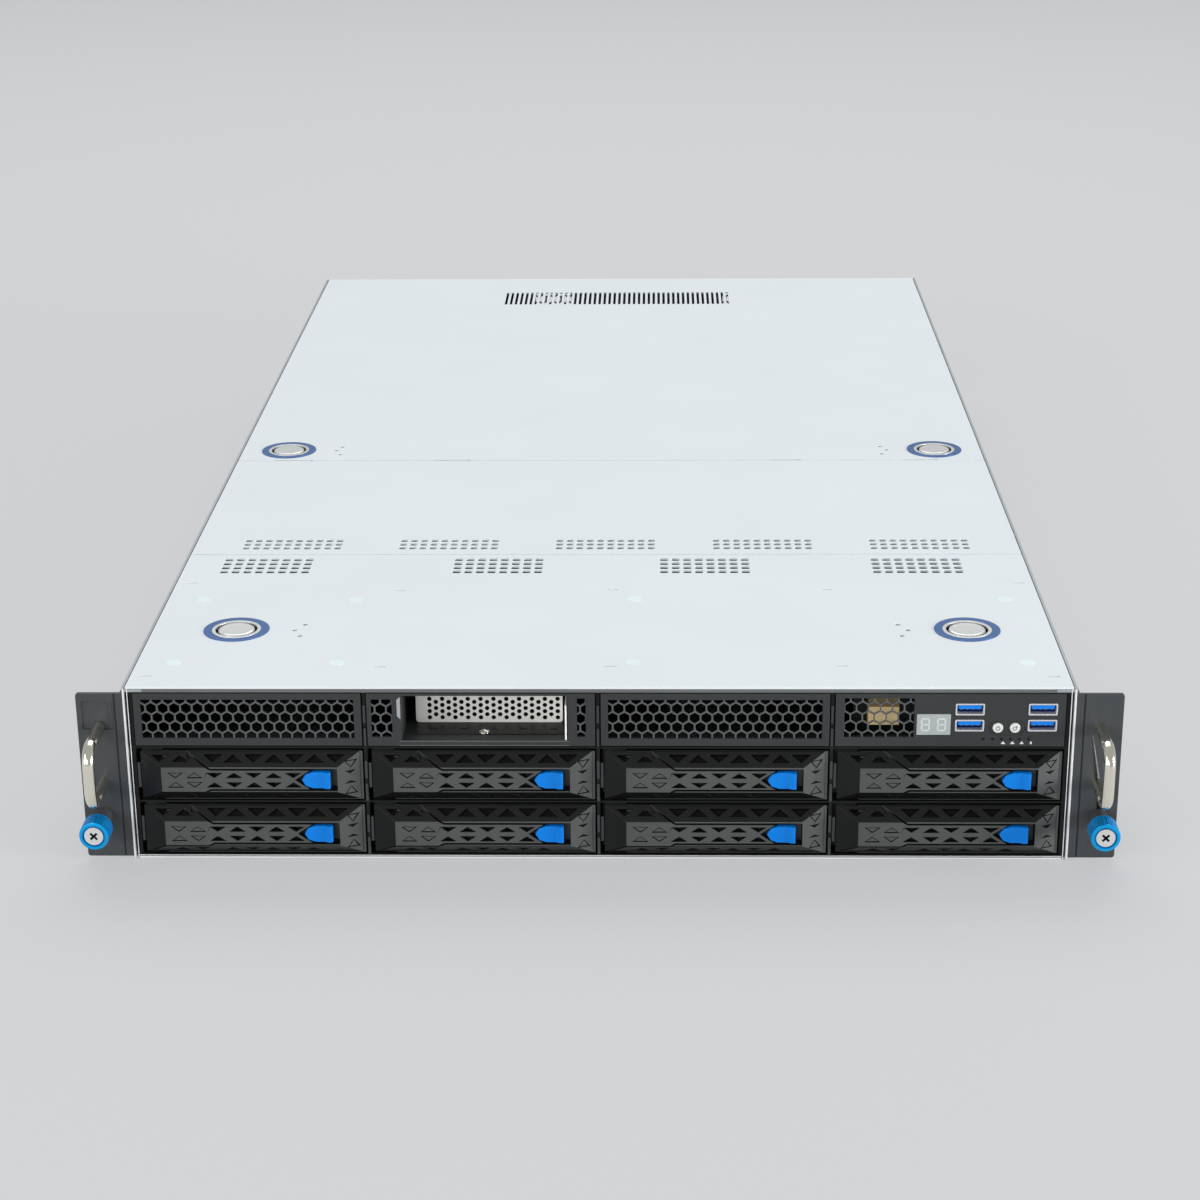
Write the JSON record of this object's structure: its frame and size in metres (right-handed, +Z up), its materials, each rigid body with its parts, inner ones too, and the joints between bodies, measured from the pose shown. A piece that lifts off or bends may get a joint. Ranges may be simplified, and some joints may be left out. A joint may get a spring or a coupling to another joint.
{
  "type": "2u rack server",
  "caption": "Rack-mount server with hot-swap drive trays, a control module, sliding top covers, fans and slide-in power supplies.",
  "frame": {"origin": "middle of the footprint, at floor level, from the handles' fronts to the power supplies' handles", "axes": "+X to the right seen from the front, +Y from the front to the rear, +Z up"},
  "size_m": [0.4826, 0.856, 0.0879],
  "materials": {
    "steel_cover": "satin",
    "galvanised_steel": "satin",
    "black_steel": "satin",
    "charcoal_steel": "satin",
    "black_plastic": "matte",
    "lever_plastic": "matte",
    "blue_plastic": "satin",
    "blue_anodised": "satin",
    "bright_steel": "polished",
    "silver_button": "satin",
    "white_plastic": "satin",
    "display_glass": "gloss",
    "socket_steel": "satin",
    "circuit_board": "satin",
    "cooling_metal": "satin",
    "fan_plastic": "matte"
  },
  "bodies": {
    "chassis": {"chassis_tray": "galvanised_steel", "rear_panel": "galvanised_steel", "rack_ears": "charcoal_steel", "rack_handles": "bright_steel", "drive_cage": "black_steel", "drive_backplane": "circuit_board", "middle_cover": "steel_cover", "vent_bezels": "black_steel", "slot_bezel": "black_steel", "slot_bracket": "socket_steel", "control_bezel": "black_plastic", "code_display": "display_glass", "usb_ports": "socket_steel", "front_io_board": "circuit_board", "fan_frames": "fan_plastic", "mainboard": "circuit_board", "heatsinks": "cooling_metal", "rear_ports": "socket_steel"},
    "left_thumbscrew": {"left_thumbscrew": "blue_anodised"},
    "right_thumbscrew": {"right_thumbscrew": "blue_anodised"},
    "front_cover": {"front_cover": "steel_cover"},
    "rear_cover": {"rear_cover": "steel_cover"},
    "front_left_button": {"front_left_button": "silver_button"},
    "front_right_button": {"front_right_button": "silver_button"},
    "rear_left_button": {"rear_left_button": "silver_button"},
    "rear_right_button": {"rear_right_button": "silver_button"},
    "power_button": {"power_button": "white_plastic"},
    "locate_button": {"locate_button": "white_plastic"},
    "fan_rotor_1": {"fan_rotor_1": "fan_plastic"},
    "fan_rotor_2": {"fan_rotor_2": "fan_plastic"},
    "fan_rotor_3": {"fan_rotor_3": "fan_plastic"},
    "fan_rotor_4": {"fan_rotor_4": "fan_plastic"},
    "power_supply_1": {"power_supply_1": "galvanised_steel"},
    "supply_latch_1": {"supply_latch_1": "blue_plastic"},
    "power_supply_2": {"power_supply_2": "galvanised_steel"},
    "supply_latch_2": {"supply_latch_2": "blue_plastic"},
    "drive_tray_1": {"drive_tray_1": "black_plastic"},
    "tray_lever_1": {"tray_lever_1": "lever_plastic"},
    "tray_latch_1": {"tray_latch_1": "blue_plastic"},
    "drive_tray_2": {"drive_tray_2": "black_plastic"},
    "tray_lever_2": {"tray_lever_2": "lever_plastic"},
    "tray_latch_2": {"tray_latch_2": "blue_plastic"},
    "drive_tray_3": {"drive_tray_3": "black_plastic"},
    "tray_lever_3": {"tray_lever_3": "lever_plastic"},
    "tray_latch_3": {"tray_latch_3": "blue_plastic"},
    "drive_tray_4": {"drive_tray_4": "black_plastic"},
    "tray_lever_4": {"tray_lever_4": "lever_plastic"},
    "tray_latch_4": {"tray_latch_4": "blue_plastic"},
    "drive_tray_5": {"drive_tray_5": "black_plastic"},
    "tray_lever_5": {"tray_lever_5": "lever_plastic"},
    "tray_latch_5": {"tray_latch_5": "blue_plastic"},
    "drive_tray_6": {"drive_tray_6": "black_plastic"},
    "tray_lever_6": {"tray_lever_6": "lever_plastic"},
    "tray_latch_6": {"tray_latch_6": "blue_plastic"},
    "drive_tray_7": {"drive_tray_7": "black_plastic"},
    "tray_lever_7": {"tray_lever_7": "lever_plastic"},
    "tray_latch_7": {"tray_latch_7": "blue_plastic"},
    "drive_tray_8": {"drive_tray_8": "black_plastic"},
    "tray_lever_8": {"tray_lever_8": "lever_plastic"},
    "tray_latch_8": {"tray_latch_8": "blue_plastic"}
  },
  "joints": [
    {"name": "tray_1_slide", "type": "slide", "parent": "chassis", "child": "drive_tray_1", "axis": [0, -1, 0], "range_m": [0, 0.16]},
    {"name": "lever_1_swing", "type": "hinge", "parent": "drive_tray_1", "child": "tray_lever_1", "pos_m": [-0.209, -0.3936, 0.0425], "axis": [0, 0, -1], "range_deg": [0, 60]},
    {"name": "latch_1_slide", "type": "slide", "parent": "drive_tray_1", "child": "tray_latch_1", "axis": [1, 0, 0], "range_m": [0, 0.003], "stiffness_N_per_m": 400, "springref_m": -0.002},
    {"name": "tray_2_slide", "type": "slide", "parent": "chassis", "child": "drive_tray_2", "axis": [0, -1, 0], "range_m": [0, 0.16]},
    {"name": "lever_2_swing", "type": "hinge", "parent": "drive_tray_2", "child": "tray_lever_2", "pos_m": [-0.101, -0.3936, 0.0425], "axis": [0, 0, -1], "range_deg": [0, 60]},
    {"name": "latch_2_slide", "type": "slide", "parent": "drive_tray_2", "child": "tray_latch_2", "axis": [1, 0, 0], "range_m": [0, 0.003], "stiffness_N_per_m": 400, "springref_m": -0.002},
    {"name": "tray_3_slide", "type": "slide", "parent": "chassis", "child": "drive_tray_3", "axis": [0, -1, 0], "range_m": [0, 0.16]},
    {"name": "lever_3_swing", "type": "hinge", "parent": "drive_tray_3", "child": "tray_lever_3", "pos_m": [0.007, -0.3936, 0.0425], "axis": [0, 0, -1], "range_deg": [0, 60]},
    {"name": "latch_3_slide", "type": "slide", "parent": "drive_tray_3", "child": "tray_latch_3", "axis": [1, 0, 0], "range_m": [0, 0.003], "stiffness_N_per_m": 400, "springref_m": -0.002},
    {"name": "tray_4_slide", "type": "slide", "parent": "chassis", "child": "drive_tray_4", "axis": [0, -1, 0], "range_m": [0, 0.16]},
    {"name": "lever_4_swing", "type": "hinge", "parent": "drive_tray_4", "child": "tray_lever_4", "pos_m": [0.115, -0.3936, 0.0425], "axis": [0, 0, -1], "range_deg": [0, 60]},
    {"name": "latch_4_slide", "type": "slide", "parent": "drive_tray_4", "child": "tray_latch_4", "axis": [1, 0, 0], "range_m": [0, 0.003], "stiffness_N_per_m": 400, "springref_m": -0.002},
    {"name": "tray_5_slide", "type": "slide", "parent": "chassis", "child": "drive_tray_5", "axis": [0, -1, 0], "range_m": [0, 0.16]},
    {"name": "lever_5_swing", "type": "hinge", "parent": "drive_tray_5", "child": "tray_lever_5", "pos_m": [-0.209, -0.3936, 0.015], "axis": [0, 0, -1], "range_deg": [0, 60]},
    {"name": "latch_5_slide", "type": "slide", "parent": "drive_tray_5", "child": "tray_latch_5", "axis": [1, 0, 0], "range_m": [0, 0.003], "stiffness_N_per_m": 400, "springref_m": -0.002},
    {"name": "tray_6_slide", "type": "slide", "parent": "chassis", "child": "drive_tray_6", "axis": [0, -1, 0], "range_m": [0, 0.16]},
    {"name": "lever_6_swing", "type": "hinge", "parent": "drive_tray_6", "child": "tray_lever_6", "pos_m": [-0.101, -0.3936, 0.015], "axis": [0, 0, -1], "range_deg": [0, 60]},
    {"name": "latch_6_slide", "type": "slide", "parent": "drive_tray_6", "child": "tray_latch_6", "axis": [1, 0, 0], "range_m": [0, 0.003], "stiffness_N_per_m": 400, "springref_m": -0.002},
    {"name": "tray_7_slide", "type": "slide", "parent": "chassis", "child": "drive_tray_7", "axis": [0, -1, 0], "range_m": [0, 0.16]},
    {"name": "lever_7_swing", "type": "hinge", "parent": "drive_tray_7", "child": "tray_lever_7", "pos_m": [0.007, -0.3936, 0.015], "axis": [0, 0, -1], "range_deg": [0, 60]},
    {"name": "latch_7_slide", "type": "slide", "parent": "drive_tray_7", "child": "tray_latch_7", "axis": [1, 0, 0], "range_m": [0, 0.003], "stiffness_N_per_m": 400, "springref_m": -0.002},
    {"name": "tray_8_slide", "type": "slide", "parent": "chassis", "child": "drive_tray_8", "axis": [0, -1, 0], "range_m": [0, 0.16]},
    {"name": "lever_8_swing", "type": "hinge", "parent": "drive_tray_8", "child": "tray_lever_8", "pos_m": [0.115, -0.3936, 0.015], "axis": [0, 0, -1], "range_deg": [0, 60]},
    {"name": "latch_8_slide", "type": "slide", "parent": "drive_tray_8", "child": "tray_latch_8", "axis": [1, 0, 0], "range_m": [0, 0.003], "stiffness_N_per_m": 400, "springref_m": -0.002},
    {"name": "left_thumbscrew_turn", "type": "hinge", "parent": "chassis", "child": "left_thumbscrew", "pos_m": [-0.23255, -0.397, 0.022], "axis": [0, 1, 0], "continuous": true},
    {"name": "right_thumbscrew_turn", "type": "hinge", "parent": "chassis", "child": "right_thumbscrew", "pos_m": [0.23255, -0.397, 0.022], "axis": [0, 1, 0], "continuous": true},
    {"name": "front_cover_slide", "type": "slide", "parent": "chassis", "child": "front_cover", "axis": [0, -1, 0], "range_m": [0, 0.012]},
    {"name": "rear_cover_slide", "type": "slide", "parent": "chassis", "child": "rear_cover", "axis": [0, 1, 0], "range_m": [0, 0.012]},
    {"name": "front_left_button_press", "type": "slide", "parent": "front_cover", "child": "front_left_button", "axis": [0, 0, -1], "range_m": [0, 0.003], "stiffness_N_per_m": 900, "springref_m": -0.003},
    {"name": "front_right_button_press", "type": "slide", "parent": "front_cover", "child": "front_right_button", "axis": [0, 0, -1], "range_m": [0, 0.003], "stiffness_N_per_m": 900, "springref_m": -0.003},
    {"name": "rear_left_button_press", "type": "slide", "parent": "rear_cover", "child": "rear_left_button", "axis": [0, 0, -1], "range_m": [0, 0.003], "stiffness_N_per_m": 900, "springref_m": -0.003},
    {"name": "rear_right_button_press", "type": "slide", "parent": "rear_cover", "child": "rear_right_button", "axis": [0, 0, -1], "range_m": [0, 0.003], "stiffness_N_per_m": 900, "springref_m": -0.003},
    {"name": "power_button_press", "type": "slide", "parent": "chassis", "child": "power_button", "axis": [0, 1, 0], "range_m": [0, 0.0008], "stiffness_N_per_m": 1500, "springref_m": -0.0005},
    {"name": "locate_button_press", "type": "slide", "parent": "chassis", "child": "locate_button", "axis": [0, 1, 0], "range_m": [0, 0.0008], "stiffness_N_per_m": 1500, "springref_m": -0.0005},
    {"name": "fan_1_spin", "type": "hinge", "parent": "chassis", "child": "fan_rotor_1", "pos_m": [-0.162, -0.178, 0.0412], "axis": [0, 1, 0], "continuous": true},
    {"name": "fan_2_spin", "type": "hinge", "parent": "chassis", "child": "fan_rotor_2", "pos_m": [-0.054, -0.178, 0.0412], "axis": [0, 1, 0], "continuous": true},
    {"name": "fan_3_spin", "type": "hinge", "parent": "chassis", "child": "fan_rotor_3", "pos_m": [0.054, -0.178, 0.0412], "axis": [0, 1, 0], "continuous": true},
    {"name": "fan_4_spin", "type": "hinge", "parent": "chassis", "child": "fan_rotor_4", "pos_m": [0.162, -0.178, 0.0412], "axis": [0, 1, 0], "continuous": true},
    {"name": "supply_1_slide", "type": "slide", "parent": "chassis", "child": "power_supply_1", "axis": [0, 1, 0], "range_m": [0, 0.19]},
    {"name": "supply_latch_1_press", "type": "slide", "parent": "power_supply_1", "child": "supply_latch_1", "axis": [-1, 0, 0], "range_m": [0, 0.002], "stiffness_N_per_m": 800, "springref_m": -0.002},
    {"name": "supply_2_slide", "type": "slide", "parent": "chassis", "child": "power_supply_2", "axis": [0, 1, 0], "range_m": [0, 0.19]},
    {"name": "supply_latch_2_press", "type": "slide", "parent": "power_supply_2", "child": "supply_latch_2", "axis": [-1, 0, 0], "range_m": [0, 0.002], "stiffness_N_per_m": 800, "springref_m": -0.002}
  ]
}
